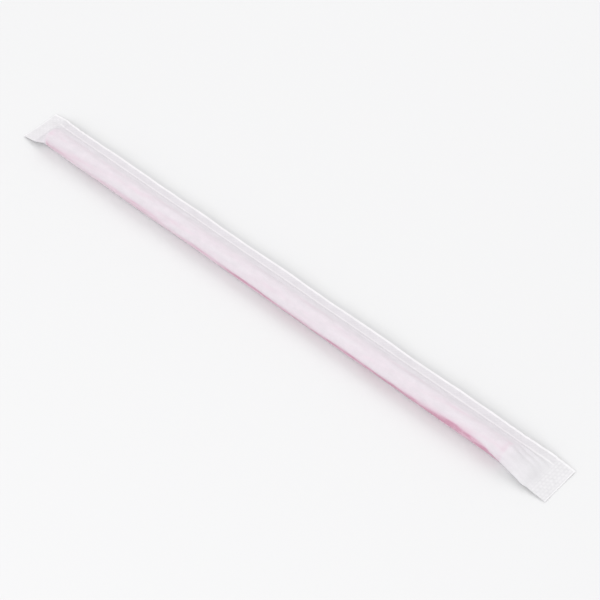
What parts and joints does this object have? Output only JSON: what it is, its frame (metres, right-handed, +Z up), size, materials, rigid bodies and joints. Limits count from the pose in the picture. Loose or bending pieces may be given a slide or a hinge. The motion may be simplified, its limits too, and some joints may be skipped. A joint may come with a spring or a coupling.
{
  "type": "wrapped drinking straw",
  "caption": "Plain pink drinking straw sealed in a close sleeve of thin white translucent paper, folded lengthwise, with one knurled side seal and crimped end tabs.",
  "frame": {"origin": "on the table, under the middle of the wrapper's length and width", "axes": "+X along the straw, towards the end with the longer empty tab; +Y across the straw, from the paper's fold towards its side seal; +Z up, away from the table"},
  "size_m": [0.229, 0.015, 0.0063],
  "materials": {
    "straw_plastic": "satin",
    "wrapper_paper": "thin translucent tissue, matte"
  },
  "bodies": {
    "root": {"straw": "straw_plastic", "wrapper": "wrapper_paper"}
  },
  "joints": []
}
